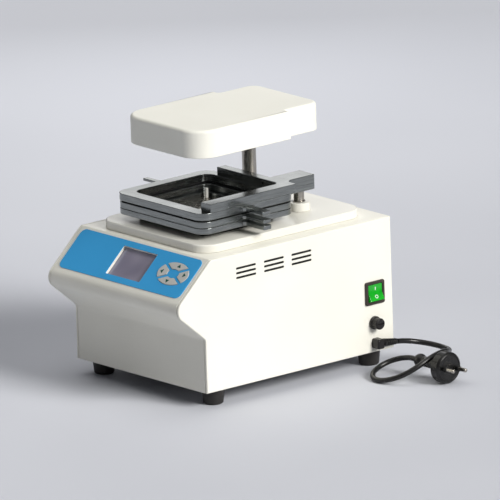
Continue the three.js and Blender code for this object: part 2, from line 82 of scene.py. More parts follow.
PLATFORM = dict(x=98.5, front=-124.5, rear=126, corner=25, top=190.1)
FRAME = dict(x=81, front=-112, rear=34, corner=16, inset=0.5)
FRAME_FLOOR, FRAME_SPLIT, FRAME_MID_TOP = 198, 205.5, 213
NEST = dict(x0=-54, x1=52, front=-83, rear=9, corner=6, play=0.4, thick=2)
NEST_HOLE = dict(x=-1, y=-37, pitch=9, r=2.6)
NEST_PIN = dict(x=(("left", -48), ("right", 46)), y=(("front", -77), ("rear", 3)), r=2.2, top=212)
LEDGE = (-60, 58, -89, 15, 8)  # x0, x1, y0, y1, corner
OPENING = (-66, 64, -95, 21)
CLAMP_FLOOR, CLAMP_TOP, RAIL_TOP = 214.8, 223.5, 234
RAIL_WIDTH, CROSSBAR, CROSSBAR_END = 17, 12.5, -49
RAIL_START = 13
ARM = dict(x0=34, x1=62, rear=79, floor=216)
BAR_SOCKET = dict(x=34, z=229, r=1.7)
POST = dict(x=47, y=66, r=6.25, boss_r=13, boss_height=10)
COLUMN = dict(x=-45, y=68, r=8.5, floor=108, collar_r=14, collar_height=6.5)
TAB = dict(y=-41, flare=3)
# body, side, reach, half-width, floor, top
TABS = {
    "finger_tab_bottom": ("housing", 1, 116, 6, 198.6, 203.8),
    "finger_tab_middle": ("housing", 1, 116, 6, 206.6, 211),
    "finger_tab_upper": ("clamp", 1, 115, 6, 216.6, 221),
    "finger_tab_left": ("clamp", -1, 108, 4, 219.5, 222.5),
}
HEAD = dict(x=71, front=-107, waist=38, rear_x=61, rear=93, floor=286, top=320, wall=2.5)
PLATEN = dict(x0=-51, x1=50, front=-84, rear=10, floor=281)
HEAD_PLATE = 3
HOOD_SCREW = dict(x=(-50, 50), y=(28, 82), r=3, height=1.6, socket_r=1.3, socket_floor=0.6)

SWITCH = dict(y=116.3, z=92.2, half_y=14.7, half_z=14.2, pocket_y=11, pocket_z=10.8,
              hole_y=12.8, hole_z=12.3, lip=2.4)
SWITCH_BOX = dict(half_y=12.4, half_z=12, back=100, hollow=107)
ROCKER = dict(x=120.8, r=10.4, flat=1.4, half=10.6, low=-0.95, back=-2.2)
MARK_LIFT = 0.06
FUSE = dict(y=115, z=55.6, tip=132, knurls=16, hole_r=6.7)
GLAND = dict(x=127.2, y=115.5, z=30.8, depth=5, half_y=5.2, half_z=6, hole_r=5.5)
OUTSIDE = HALF_WIDTH + GAP
VENT = dict(z=(162.3, 156.5, 150.8), y=(-80, -36.8, 5.8), half=15.4, r=1.35)
VENT_PLAY = 0.06

KEY_PLAY = 0.35
KEY_RING = dict(x=76.5, v=-30, a=26.5, b=16.2, inner=0.36, spoke=1.5, slope=0.53)
LCD = dict(x0=-29, x1=32.8, v0=-52, v1=-11, depth=3.2)
LCD_LAP = 3
OVERLAY = dict(x=110.5, v0=-60, v1=-3.2, corner=8, t=0.6)
KEYS = {"up": (False, 1), "down": (False, -1), "right": (True, 1), "left": (True, -1)}
ARROW = [(-3.1, -1), (3.1, -1), (0, 3.6)]
# place on the slope and turn in degrees
ARROWS = {
    "up": (79.2, -19.6, 0),
    "right": (95, -28.6, -90),
    "down": (74.8, -40.4, 180),
    "left": (57.6, -30.4, 90),
}

PLUG = dict(y=127, z=19.4, bulb=188.4, bulb_r=8.2, disc=226, face=241, r=19)
PLUG_NECK = dict(r=6.2, groove_r=5.5, grooves=(199, 203), bulb_end=6.4)
GRIP = dict(count=12, half_width=1.1, half_depth=0.8, half_length=4.5)
PIN = dict(r=2.4, length=19, side=9.5, drop=1.2, sleeve=0.75, sleeve_length=7)
RELIEF = dict(rings=5, r=4.7, taper=0.22, first=4.4, pitch=3.1, groove=0.9, droop=0.1)
CORD_R = 3.2
CORD_ROUTE = [
    (127.2, 143.8, 28.3), (127.4, 152.8, 27), (129, 163.1, 25), (133.5, 172.8, 22.8),
    (141.1, 180.4, 20.9), (150.9, 184.8, 19.6), (161.8, 185.4, 19.2), (172.4, 182.5, 19.9),
    (182.1, 177.1, 21.4), (190.5, 170, 23.6), (197.7, 161.7, 26.1), (203.9, 152.6, 28.5),
    (208.9, 142.6, 30.2), (212.4, 131.9, 30.5), (214.2, 121, 28.7), (214, 110.2, 24.9),
    (211.6, 100, 20), (207, 90.7, 14.8), (199.9, 82.5, 10), (190.5, 76.1, 6.3),
    (179.2, 72.6, 4), (167, 73.6, 3.3), (156, 79.5, 4.3), (148.6, 89.5, 6.8),
    (146.3, 101.5, 10.3), (149.6, 113.2, 14.1), (157.9, 122.3, 17.3), (169.4, 126.8, 19.2),
    (179.8, 127, 19.4),
]

# ---- placements ---------------------------------------
cover_low, cover_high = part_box("front_top_cover")
rear_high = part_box("rear_panel")[1]
SHIFT = Vector(((cover_low[0] + cover_high[0]) / 2, rear_high[1] - REAR / 1000, 0))
MACHINE = Matrix.Translation(SHIFT) @ Matrix.Scale(0.001, 4)
FLAT = Matrix.Identity(4)
SIDE = Matrix(((0, 0, 1, 0), (1, 0, 0, 0), (0, 1, 0, 0), (0, 0, 0, 1)))
FACING = Matrix(((1, 0, 0, 0), (0, 0, -1, 0), (0, 1, 0, 0), (0, 0, 0, 1)))
LEAN = math.atan2(HOUSING_TOP - NOSE[1], SLOPE_TOP - NOSE[0])
SLOPE = Matrix.Translation((0, SLOPE_TOP, HOUSING_TOP)) @ Matrix.Rotation(LEAN, 4, "X")


def at(x, y, z):
    """A placement that only moves."""
    return Matrix.Translation((x, y, z))


def row(x, y, z):
    """A machine point in the frame's metres."""
    return MACHINE @ Vector((x, y, z))


# ---- camera and lights --------------------------------
def add_camera():
    """A long lens far away, because the view is nearly parallel."""
    azimuth, elevation, roll = (math.radians(CAMERA[k]) for k in ("azimuth", "elevation", "roll"))
    right = Vector((math.cos(azimuth), math.sin(azimuth), 0))
    back = Vector((
        math.sin(azimuth) * math.cos(elevation),
        -math.cos(azimuth) * math.cos(elevation),
        math.sin(elevation),
    ))
    up = back.cross(right)
    across = right * math.cos(roll) - up * math.sin(roll)
    upward = right * math.sin(roll) + up * math.cos(roll)
    corner = row(HALF_WIDTH, FRONT, FOOT_HEIGHT)
    target = corner + across * CAMERA_AIM["across"] + upward * CAMERA_AIM["upward"]
    data = bpy.data.cameras.new("camera")
    data.lens = CAMERA["lens"]
    data.sensor_width = CAMERA["sensor"]
    data.clip_start = 1
    data.clip_end = 200
    camera = bpy.data.objects.new("camera", data)
    bpy.context.collection.objects.link(camera)
    place = Matrix((across, upward, back)).transposed().to_4x4()
    place.translation = target + back * CAMERA["distance"]
    camera.matrix_world = place
    bpy.context.scene.camera = camera


def add_light(name, kind, direction, energy, size, colour, distance):
    """A light that shines from a direction onto the machine."""
    data = bpy.data.lights.new(name, kind)
    data.energy = energy
    data.color = colour
    aim = Vector(direction).normalized()
    if kind == "SUN":
        data.angle = math.radians(size)
    else:
        data.shape = "DISK"
        data.size = size
    light = bpy.data.objects.new(name, data)
    light.location = Vector((0, 0, 0.2)) + aim * distance
    light.rotation_euler = aim.to_track_quat("Z", "Y").to_euler()
    bpy.context.collection.objects.link(light)


def add_world():
    """A soft studio: pale overhead, grey towards the ground."""
    world = bpy.data.worlds.new("studio")
    world.use_nodes = True
    bpy.context.scene.world = world
    nodes, links = world.node_tree.nodes, world.node_tree.links
    background = nodes["Background"]
    coords = nodes.new("ShaderNodeTexCoord")
    split = nodes.new("ShaderNodeSeparateXYZ")
    ramp = nodes.new("ShaderNodeValToRGB")
    low, high = ramp.color_ramp.elements
    low.position, low.color = 0.0, STUDIO["low"]
    high.position, high.color = STUDIO["high_at"], STUDIO["high"]
    links.new(coords.outputs["Generated"], split.inputs[0])
    links.new(split.outputs["Z"], ramp.inputs["Fac"])
    links.new(ramp.outputs["Color"], background.inputs["Color"])
    background.inputs["Strength"].default_value = STUDIO["strength"]


# ---- materials ----------------------------------------
def shader(name, colour, rough, metal=0.0, **sockets):
    """A principled material with its even values on the shader's own sockets."""
    material = bpy.data.materials.new(name)
    material.use_nodes = True
    bsdf = material.node_tree.nodes["Principled BSDF"]
    bsdf.inputs["Base Color"].default_value = (*colour, 1)
    bsdf.inputs["Roughness"].default_value = rough
    bsdf.inputs["Metallic"].default_value = metal
    for socket, value in sockets.items():
        bsdf.inputs[socket.replace("_", " ")].default_value = value
    return material


def noise(material, scale, stretch=(1, 1, 1), detail=3.0):
    """A noise texture in the object's own metres, stretched along its axes."""
    nodes, links = material.node_tree.nodes, material.node_tree.links
    coords = nodes.new("ShaderNodeTexCoord")
    mapping = nodes.new("ShaderNodeMapping")
    mapping.inputs["Scale"].default_value = stretch
    texture = nodes.new("ShaderNodeTexNoise")
    texture.inputs["Scale"].default_value = scale
    texture.inputs["Detail"].default_value = detail
    links.new(coords.outputs["Object"], mapping.inputs["Vector"])
    links.new(mapping.outputs["Vector"], texture.inputs["Vector"])
    return texture.outputs["Fac"]


def bump(material, height, strength, distance):
    """Adds a bump under whatever normal the shader already has."""
    nodes, links = material.node_tree.nodes, material.node_tree.links
    bsdf = nodes["Principled BSDF"]
    node = nodes.new("ShaderNodeBump")
    node.inputs["Strength"].default_value = strength
    node.inputs["Distance"].default_value = distance
    if bsdf.inputs["Normal"].links:
        links.new(bsdf.inputs["Normal"].links[0].from_socket, node.inputs["Normal"])
    links.new(height, node.inputs["Height"])
    links.new(node.outputs["Normal"], bsdf.inputs["Normal"])


def vary(material, socket, value, low, high):
    """Drives a shader socket between two numbers with a noise value."""
    nodes, links = material.node_tree.nodes, material.node_tree.links
    span = nodes.new("ShaderNodeMapRange")
    span.inputs["From Min"].default_value = 0.3
    span.inputs["From Max"].default_value = 0.7
    span.inputs["To Min"].default_value = low
    span.inputs["To Max"].default_value = high
    links.new(value, span.inputs["Value"])
    links.new(span.outputs["Result"], nodes["Principled BSDF"].inputs[socket])


def tint(material, value, dark, light, low=0.3, high=0.7):
    """Drives the base colour between two colours with a noise value."""
    nodes, links = material.node_tree.nodes, material.node_tree.links
    ramp = nodes.new("ShaderNodeValToRGB")
    first, last = ramp.color_ramp.elements
    first.position, first.color = low, (*dark, 1)
    last.position, last.color = high, (*light, 1)
    links.new(value, ramp.inputs["Fac"])
    links.new(ramp.outputs["Color"], nodes["Principled BSDF"].inputs["Base Color"])


def paint(name, dark, light, rough, peel, coat=0.0, shine=0.35):
    """Sprayed or moulded finish with a faint orange peel."""
    material = shader(
        name, light, rough, Coat_Weight=coat, Coat_Roughness=0.12, Specular_IOR_Level=shine,
    )
    tint(material, noise(material, 9, detail=1), dark, light)
    vary(material, "Roughness", noise(material, 24, detail=1), rough * 0.9, rough * 1.12)
    bump(material, noise(material, 330, detail=0), peel, 0.00004)
    return material


def brushed(name, dark, light, rough, stretch):
    """Metal with fine lines along one axis and faint handling marks."""
    material = shader(name, light, rough, metal=1.0)
    lines = noise(material, 700, stretch, detail=4)
    tint(material, lines, dark, light)
    vary(material, "Roughness", noise(material, 120, stretch), rough * 0.8, rough * 1.3)
    bump(material, lines, 0.12, 0.0001)
    return material


def soft_black(name, colour, rough, grain, size):
    """Moulded rubber or plastic with a fine grain and dusty highs."""
    material = shader(name, colour, rough, Specular_IOR_Level=0.4)
    dusty = tuple(c * 1.5 + 0.002 for c in colour)
    tint(material, noise(material, 30, detail=4), colour, dusty, 0.35, 0.8)
    vary(material, "Roughness", noise(material, 150), rough * 0.85, min(1, rough * 1.15))
    bump(material, noise(material, size, detail=2), grain, 0.0002)
    return material


def screen():
    """An unlit display: grey glass with a faint mottle and a fine grain."""
    material = shader("screen", (0.17, 0.15, 0.21), 0.12, Coat_Weight=0.6, Coat_Roughness=0.04)
    tint(material, noise(material, 22, detail=1), (0.20, 0.185, 0.26), (0.35, 0.325, 0.405))
    bump(material, noise(material, 1500), 0.02, 0.0001)
    return material


def green_painted_glow():
    """Translucent green plastic, brightened by a faint painted glow from emission rather than by
    any lamp.
    """
    material = shader(
        "rocker_green", (0.0, 0.36, 0.01), 0.22, Coat_Weight=0.5, Coat_Roughness=0.08,
    )
    tint(material, noise(material, 90, detail=1), (0.0, 0.24, 0.008), (0.003, 0.37, 0.010))
    bsdf = material.node_tree.nodes["Principled BSDF"]
    # The weak green emission is a painted glow that brightens the rocker; no lamp lights it.
    bsdf.inputs["Emission Color"].default_value = (0.0, 0.55, 0.015, 1)
    bsdf.inputs["Emission Strength"].default_value = 0.10
    bump(material, noise(material, 600, detail=1), 0.04, 0.0002)
    return material


def board_finish():
    """Solder resist over darker copper runs."""
    material = shader("board", (0.02, 0.12, 0.05), 0.35)
    runs = noise(material, 260, (1, 0.2, 1))
    tint(material, runs, (0.008, 0.06, 0.02), (0.03, 0.16, 0.06))
    bump(material, runs, 0.2, 0.0002)
    return material


WHITE = paint("housing_white", (0.825, 0.81, 0.73), (0.865, 0.85, 0.77), 0.34, 0.10, 0.05)
GLOSS = paint("platform_white", (0.79, 0.775, 0.71), (0.83, 0.815, 0.75), 0.24, 0.04, 0.05, 0.25)
SATIN = paint("head_white", (0.86, 0.85, 0.775), (0.89, 0.88, 0.805), 0.46, 0.07, 0.0, 0.25)
BLUE = paint("overlay_blue", (0.048, 0.38, 0.77), (0.055, 0.41, 0.82), 0.48, 0.06, shine=0.2)
KEY = paint("key_grey", (0.56, 0.56, 0.53), (0.63, 0.63, 0.60), 0.45, 0.08)
MARK = paint("mark_green", (0.002, 0.07, 0.06), (0.004, 0.10, 0.085), 0.5, 0.05)
MARK_WHITE = paint("mark_white", (0.80, 0.84, 0.80), (0.88, 0.92, 0.88), 0.4, 0.05)
NYLON = paint("nylon", (0.70, 0.70, 0.66), (0.80, 0.80, 0.77), 0.5, 0.1)
MILLED = brushed(
    "milled_aluminium", (0.215, 0.228, 0.225), (0.31, 0.325, 0.32), 0.24, (0.06, 0.06, 1),
)
STEEL = brushed("steel", (0.34, 0.32, 0.285), (0.47, 0.44, 0.40), 0.24, (1, 1, 0.04))
ZINC = brushed("zinc", (0.40, 0.40, 0.39), (0.56, 0.56, 0.54), 0.38, (0.3, 1, 1))
BRONZE = brushed("bronze", (0.36, 0.26, 0.12), (0.55, 0.42, 0.22), 0.36, (1, 1, 0.1))
PLASTIC = soft_black("black_plastic", (0.008, 0.007, 0.007), 0.30, 0.10, 1400)
RUBBER = soft_black("foot_rubber", (0.014, 0.0125, 0.0115), 0.50, 0.2, 900)
PVC = soft_black("cord_black", (0.007, 0.0068, 0.0068), 0.30, 0.08, 1100)
SILICONE = soft_black("seal_silicone", (0.018, 0.018, 0.019), 0.55, 0.1, 800)
BROWN = soft_black("bezel_brown", (0.032, 0.024, 0.020), 0.36, 0.12, 1200)
# Near-black painted shade: it darkens the vent slots and the crossbar's socket where the real parts
# are only in shade.
SHADE_BLACK = soft_black("painted_shade", (0.006, 0.006, 0.006), 0.8, 0.1, 800)
SCREEN = screen()
GREEN = green_painted_glow()
BOARD = board_finish()
MICA = paint("mica", (0.45, 0.40, 0.29), (0.62, 0.56, 0.42), 0.8, 0.5)


# ---- outlines -----------------------------------------
def rounded(corners, step=7.5):
    """Corners (a, b, radius) with each corner turned into an arc of its radius."""
    points = []
    for i, (a, b, radius) in enumerate(corners):
        here = Vector((a, b))
        if not radius:
            points.append(here)
            continue
        back = (Vector(corners[i - 1][:2]) - here).normalized()
        on = (Vector(corners[(i + 1) % len(corners)][:2]) - here).normalized()
        half = math.acos(max(-1, min(1, back.dot(on)))) / 2
        centre = here + (back + on).normalized() * radius / math.sin(half)
        reach = radius / math.tan(half)
        first = here + back * reach - centre
        last = here + on * reach - centre
        turn = math.atan2(first.x * last.y - first.y * last.x, first.dot(last))
        steps = max(3, math.ceil(abs(math.degrees(turn)) / step))
        for k in range(steps + 1):
            angle = turn * k / steps
            c, s = math.cos(angle), math.sin(angle)
            points.append(centre + Vector((c * first.x - s * first.y, s * first.x + c * first.y)))
    return points


def rectangle(x0, x1, y0, y1, r=0.0, step=7.5):
    """A rectangle with rounded corners."""
    return rounded([(x0, y0, r), (x1, y0, r), (x1, y1, r), (x0, y1, r)], step)


def disc(x, y, r, sides=48):
    """A circle."""
    turns = [2 * math.pi * k / sides for k in range(sides)]
    return [Vector((x + r * math.cos(t), y + r * math.sin(t))) for t in turns]


def area(loop):
    """The signed area of a loop, positive when it runs counter-clockwise."""
    pairs = zip(loop, loop[1:] + loop[:1])
    return sum(p.x * q.y - q.x * p.y for p, q in pairs) / 2


def moved_in(loop, inset):
    """A counter-clockwise loop moved towards its inside, with mitred corners."""
    result = []
    count = len(loop)
    for i, here in enumerate(loop):
        back = (here - loop[i - 1]).normalized()
        on = (loop[(i + 1) % count] - here).normalized()
        normal = Vector((-back.y - on.y, back.x + on.x))
        length = normal.length_squared / 2
        result.append(here + normal * (inset / length) if length > 1e-6 else here.copy())
    return result


# ---- mesh helpers -------------------------------------
def shown(name, bm, place):
    """Turns a bmesh in machine millimetres into an object in the frame's metres."""
    bm.normal_update()
    bmesh.ops.transform(bm, matrix=MACHINE @ place, verts=bm.verts)
    mesh = bpy.data.meshes.new(name)
    bm.to_mesh(mesh)
    bm.free()
    thing = bpy.data.objects.new(name, mesh)
    bpy.context.collection.objects.link(thing)
    weigh(thing)
    return thing


def weigh(thing):
    """Shades a piece smooth, but keeps flat faces flat beside their rounded edges."""
    for face in thing.data.polygons:
        face.use_smooth = True
    thing.data.set_sharp_from_angle(angle=SHARP)
    modifier = thing.modifiers.new("weighted", "WEIGHTED_NORMAL")
    modifier.keep_sharp = True
    modifier.weight = 90


def rim_rings(loop, side, low, high, rim_bottom, rim_top, steps):
    """The rings (points, height) of a wall from its bottom rim to its top rim."""
    rings = []
    for k in range(steps + 1):
        turn = math.pi / 2 * k / steps
        inset = rim_bottom * (1 - math.sin(turn)) * side
        rings.append((moved_in(loop, inset), low + rim_bottom * (1 - math.cos(turn))))
    for k in range(steps + 1):
        turn = math.pi / 2 * k / steps
        inset = rim_top * (1 - math.cos(turn)) * side
        rings.append((moved_in(loop, inset), high - rim_top * (1 - math.sin(turn))))
    if not rim_bottom:
        rings = rings[steps:]
    if not rim_top:
        rings = rings[:-steps]
    return rings


def add_cap(bm, rings, facing):
    """Closes a slab's face, up for 1 and down for -1, round its holes."""
    verts = [v for ring in rings for v in ring]
    flat = [[v.co.copy() for v in ring] for ring in rings]
    for triangle in tessellate_polygon(flat):
        corners = [verts[i] for i in triangle]
        a, b, c = (v.co for v in corners)
        if (b - a).cross(c - a).z * facing < 0:
            corners.reverse()
        bm.faces.new(corners)


def slab(name, outline, low, high, holes=(), top=0.5, bottom=0.3, hole_edge=None, place=FLAT,
         steps=3):
    """A plate with rounded rims. Holes get a rim of their own."""
    bm = bmesh.new()
    caps = ([], [])
    loops = [(list(outline), 1, top, bottom)]
    for hole in holes:
        rim = min(top, 0.4) if hole_edge is None else hole_edge
        loops.append((list(hole), -1, rim, min(rim, bottom)))
    for loop, side, rim_top, rim_bottom in loops:
        if area(loop) < 0:
            loop.reverse()
        rings = rim_rings(loop, side, low, high, rim_bottom, rim_top, steps)
        made = [[bm.verts.new((p.x, p.y, z)) for p in points] for points, z in rings]
        count = len(loop)
        for lower, upper in zip(made, made[1:]):
            for i in range(count):
                j = (i + 1) % count
                corners = (lower[i], lower[j], upper[j], upper[i])
                bm.faces.new(corners if side > 0 else corners[::-1])
        caps[0].append(made[0])
        caps[1].append(made[-1])
    for rings, facing in zip(caps, (-1, 1)):
        add_cap(bm, rings, facing)
    return shown(name, bm, place)


def turned(name, profile, place=FLAT, sides=64, along_x=False):
    """A profile of (radius, height, fillet) turned about Z, or about X."""
    ends = [(0, profile[0][1], 0), (0, profile[-1][1], 0)]
    line = [p if len(p) == 3 else (*p, 0) for p in profile]
    points = rounded([ends[0], *line, ends[1]], 22.5)
    points = [p for p in points if p.x > 1e-5]
    bm = bmesh.new()
    first = bm.verts.new((0, 0, profile[0][1]))
    last = bm.verts.new((0, 0, profile[-1][1]))
    turns = [2 * math.pi * k / sides for k in range(sides)]
    rings = [
        [bm.verts.new((p.x * math.cos(t), p.x * math.sin(t), p.y)) for t in turns]
        for p in points
    ]
    for lower, upper in zip(rings, rings[1:]):
        for i in range(sides):
            j = (i + 1) % sides
            bm.faces.new((lower[i], lower[j], upper[j], upper[i]))
    for i in range(sides):
        j = (i + 1) % sides
        bm.faces.new((first, rings[0][j], rings[0][i]))
        bm.faces.new((last, rings[-1][i], rings[-1][j]))
    turn = Matrix.Rotation(math.pi / 2, 4, "Y") if along_x else FLAT
    return shown(name, bm, place @ turn)


def applied(thing):
    """Bakes the modifiers of a mesh into it."""
    bpy.context.view_layer.update()
    depsgraph = bpy.context.evaluated_depsgraph_get()
    mesh = bpy.data.meshes.new_from_object(thing.evaluated_get(depsgraph))
    thing.modifiers.clear()
    old = thing.data
    thing.data = mesh
    bpy.data.meshes.remove(old)


def carve(thing, *tools):
    """Cuts tools out of a piece and removes the tools."""
    thing.modifiers.clear()
    for tool in tools:
        tool.modifiers.clear()
        modifier = thing.modifiers.new("cut", "BOOLEAN")
        modifier.operation = "DIFFERENCE"
        modifier.solver = "EXACT"
        modifier.object = tool
    applied(thing)
    for tool in tools:
        bpy.data.objects.remove(tool)
    weigh(thing)
    return thing


def joined(name, things):
    """Puts separate closed shells into one object."""
    bm = bmesh.new()
    for thing in things:
        bm.from_mesh(thing.data)
        bpy.data.objects.remove(thing)
    return shown(name, bm, MACHINE.inverted())


def piece(thing, body, slot, material, *nodes):
    """Gives a finished shape its finish, its body and the CAD nodes it stands for."""
    thing.data.materials.clear()
    thing.data.materials.append(material)
    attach(thing, body)
    if nodes:
        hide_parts(*nodes)
    return thing


def carried(material, *nodes):
    """Gives CAD nodes that stay as they are their procedural finish."""
    for node in nodes:
        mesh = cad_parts[node].data
        mesh.materials.clear()
        mesh.materials.append(material)


# ---- mains lead ---------------------------------------
def add_gland():
    """The block on the housing that holds the lead."""
    x, y, z = GLAND["x"], GLAND["y"], GLAND["z"]
    half_y, half_z = GLAND["half_y"], GLAND["half_z"]
    block = rectangle(y - half_y, y + half_y, z - half_z, z + half_z, 2.4)
    gland = slab("gland", block, OUTSIDE, x + GLAND["depth"], top=1.8, bottom=0.2, place=SIDE,
                 steps=5)
    return piece(gland, "housing", "black_plastic", PLASTIC, "cord_gland")


def add_relief():
    """A tapered, ringed sleeve on the first stretch of the lead."""
    groove = RELIEF["groove"]
    profile = [(0.4, -0.2), (5.1, -0.2, 0.3), (5.1, 3.4, 0.4)]
    for k in range(RELIEF["rings"]):
        r = RELIEF["r"] - RELIEF["taper"] * k
        start = RELIEF["first"] + RELIEF["pitch"] * k
        profile += [
            (r - groove, start, 0.25), (r - groove, start + groove, 0.25),
            (r, start + 1.1, 0.3), (r - 0.1, start + 2.9, 0.3),
        ]
    profile += [(3.35, 20.2, 0.3), (3.35, 21.4, 0.2)]
    lean = Matrix.Rotation(-math.pi / 2 - RELIEF["droop"], 4, "X")
    root = at(GLAND["x"], GLAND["y"] + GLAND["half_y"] + 0.6, GLAND["z"])
    relief = turned("strain_relief", profile, root @ lean, 40)
    return piece(relief, "housing", "cord_black", PVC, "cord_strain_relief")


def lead_curve(route):
    """One smooth spline through the route's points, in metres."""
    curve = bpy.data.curves.new("lead", "CURVE")
    curve.dimensions = "3D"
    curve.resolution_u = 8
    curve.bevel_depth = CORD_R / 1000
    curve.bevel_resolution = 6
    curve.use_fill_caps = True
    spline = curve.splines.new("BEZIER")
    last = len(route) - 1
    spline.bezier_points.add(last)
    for i, (point, place) in enumerate(zip(spline.bezier_points, route)):
        chord = route[min(last, i + 1)] - route[max(0, i - 1)]
        tangent = chord / (6 if 0 < i < last else 3)
        point.co = place
        point.handle_left_type = point.handle_right_type = "FREE"
        point.handle_left = place - tangent
        point.handle_right = place + tangent
    return curve


def add_lead():
    """The whole lead: gland, strain relief, cord and plug."""
    gland, relief = add_gland(), add_relief()
    route = [row(*p) for p in CORD_ROUTE]
    lead = bpy.data.objects.new("lead", lead_curve(route))
    bpy.context.collection.objects.link(lead)
    piece(lead, "housing", "cord_black", PVC, "power_cord")
    plug = [add_boot(), add_plug_body(), *add_pins()]


def add_boot():
    """The plug's bulb and grooved neck."""
    bulb, r, neck = PLUG["bulb"], PLUG["bulb_r"], PLUG_NECK["r"]
    turns = [math.radians(degrees) for degrees in (26, 40, 54, 68, 82, 96, 110, 122)]
    profile = [(r * math.sin(turn), bulb - r * math.cos(turn)) for turn in turns]
    profile.append((neck, bulb + PLUG_NECK["bulb_end"], 0.8))
    for start in PLUG_NECK["grooves"]:
        profile += [
            (neck, start, 0), (PLUG_NECK["groove_r"], start + 0.4, 0.3),
            (PLUG_NECK["groove_r"], start + 1.6, 0.3), (neck, start + 2, 0),
        ]
    profile.append((neck, PLUG["disc"] - 4 - GAP, 0.2))
    boot = turned("plug_sleeve", profile, at(0, PLUG["y"], PLUG["z"]), 48, along_x=True)
    return piece(boot, "housing", "cord_black", PVC, "plug_boot")


def add_plug_body():
    """The plug's disc, with a recessed face and grip grooves round its rim."""
    back, face, rim = PLUG["disc"], PLUG["face"], PLUG["r"]
    centre = at(0, PLUG["y"], PLUG["z"])
    profile = [
        (7.2, back - 4, 0.4), (8.2, back - 2.6, 1.5), (12.5, back - 1.2, 2), (rim - 2.2, back, 1),
        (rim, back + 2.2, 1.6), (rim, face - 2.6, 1.4), (rim - 2.4, face - 0.1, 1.6),
        (rim - 3.4, face - 0.1, 0.3), (rim - 3.8, face - 0.7, 0.3), (3, face - 0.7, 0),
    ]
    body = turned("plug_disc", profile, centre, 72, along_x=True)
    width, depth, length = GRIP["half_width"], GRIP["half_depth"], GRIP["half_length"]
    groove = rectangle(-width, width, -depth, depth, 0.5)
    spot = at((back + face) / 2, 0, rim + 0.5) @ Matrix.Rotation(math.pi / 2, 4, "Y")
    grips = []
    for k in range(GRIP["count"]):
        turn = Matrix.Rotation(2 * math.pi * k / GRIP["count"], 4, "X")
        grips.append(slab("grip", groove, -length, length, top=0.3, place=centre @ turn @ spot))
    return piece(carve(body, *grips), "housing", "cord_black", PVC, "plug_body")


def add_pins():
    """Two round pins with short insulating sleeves at their roots."""
    made = []
    face = PLUG["face"]
    start, tip, r = face + GAP, face + PIN["length"], PIN["r"]
    for name, side in (("front", -1), ("rear", 1)):
        spot = at(0, PLUG["y"] + side * PIN["side"], PLUG["z"] - side * PIN["drop"])
        pin = turned(f"pin_{name}", [(r, start, 0), (r, tip, 1.5)], spot, 32, along_x=True)
        made.append(piece(pin, "housing", "ground_steel", STEEL, f"plug_pin_{name}"))
        cuff = r + PIN["sleeve"]
        profile = [(cuff, face - 0.5, 0), (cuff, start + PIN["sleeve_length"], 0.4)]
        sleeve = turned(f"pin_sleeve_{name}", profile, spot, 32, along_x=True)
        made.append(piece(sleeve, "housing", "cord_black", PVC))
    return made


# ---- housing ------------------------------------------
def housing_outline(inset, closed=True):
    """The side view (y, z) of the housing, moved in by a sheet's thickness."""
    under = math.atan2(NOSE[1] - BREAK_Z, FRONT - NOSE[0])
    half, turn = (LEAN + under) / 2, (LEAN - under) / 2
    pull = inset / math.sin(half)
    corners = [
        (REAR, FOOT_HEIGHT, 0),
        (FRONT + inset, FOOT_HEIGHT, 0),
        (FRONT + inset, BREAK_Z + inset * math.tan(math.pi / 4 - under / 2), 6 + inset),
        (NOSE[0] + pull * math.cos(turn), NOSE[1] + pull * math.sin(turn), 14 - inset),
        (SLOPE_TOP + inset * math.tan(LEAN / 2), HOUSING_TOP - inset, 4 - inset),
        (REAR, HOUSING_TOP - inset, 0),
    ]
    points = rounded(corners, 5)
    return points if closed else points[1:]


def key_points(sideways, flip, clearance):
    """One quarter of the key ring, in slope coordinates."""
    a, b, inner, rise = (KEY_RING[k] for k in ("a", "b", "inner", "slope"))
    away = (KEY_RING["spoke"] + clearance) * math.hypot(1, rise)

    def arc(ea, eb):
        """The part of an ellipse that lies between this key's two spokes."""
        size = math.hypot(eb, ea * rise)
        lean = math.atan2(ea * rise, eb)
        edge = lean - math.asin(away / size) if sideways else lean + math.asin(away / size)
        start, end = (-edge, edge) if sideways else (edge, math.pi - edge)
        turns = [start + (end - start) * k / 24 for k in range(25)]
        return [Vector((ea * math.cos(t), eb * math.sin(t))) for t in turns]

    outer = arc(a - clearance, b - clearance)
    core = arc(a * inner + clearance, b * inner + clearance)
    centre = Vector((KEY_RING["x"], KEY_RING["v"]))
    return [centre + flip * p for p in outer + core[::-1]]


def lcd_window(margin=0.0):
    """The display's opening in slope coordinates, grown by a margin."""
    x0, x1 = LCD["x0"] - margin, LCD["x1"] + margin
    return rectangle(x0, x1, LCD["v0"] - margin, LCD["v1"] + margin)


def slope_windows():
    """Every opening of the control slope."""
    return [lcd_window()] + [key_points(*key, 0) for key in KEYS.values()]


def column_disc(play, sides=48):
    """A circle round the column."""
    return disc(COLUMN["x"], COLUMN["y"], COLUMN["r"] + play, sides)


def side_vents(play, corner):
    """The nine slots of the right side (y, z), made smaller by a play."""
    half, r = VENT["half"] - play, VENT["r"] - play
    return [
        rectangle(y - half, y + half, z - r, z + r, VENT["r"] * corner, 15)
        for z in VENT["z"] for y in VENT["y"]
    ]


def add_housing():
    """The white sheet-metal box on its four feet."""
    add_cover()
    add_sides()
    add_rear()
    add_feet()
    carried(ZINC, "base_plate")


def add_cover():
    """The bent sheet of the front, nose, slope and top."""
    outer = housing_outline(0, closed=False)
    inner = housing_outline(SHEET, closed=False)
    half = COVER_HALF - SEAM
    skin = slab("cover", outer + inner[::-1], -half, half, top=0.3, bottom=0.3, place=SIDE)
    tools = [
        slab("tool", window, -SHEET - 1, 1, top=0, bottom=0, place=SLOPE)
        for window in slope_windows()
    ]
    tools.append(slab("tool", column_disc(1), HOUSING_TOP - 5, HOUSING_TOP + 5, top=0, bottom=0))
    piece(carve(skin, *tools), "housing", "housing_white", WHITE, "front_top_cover")


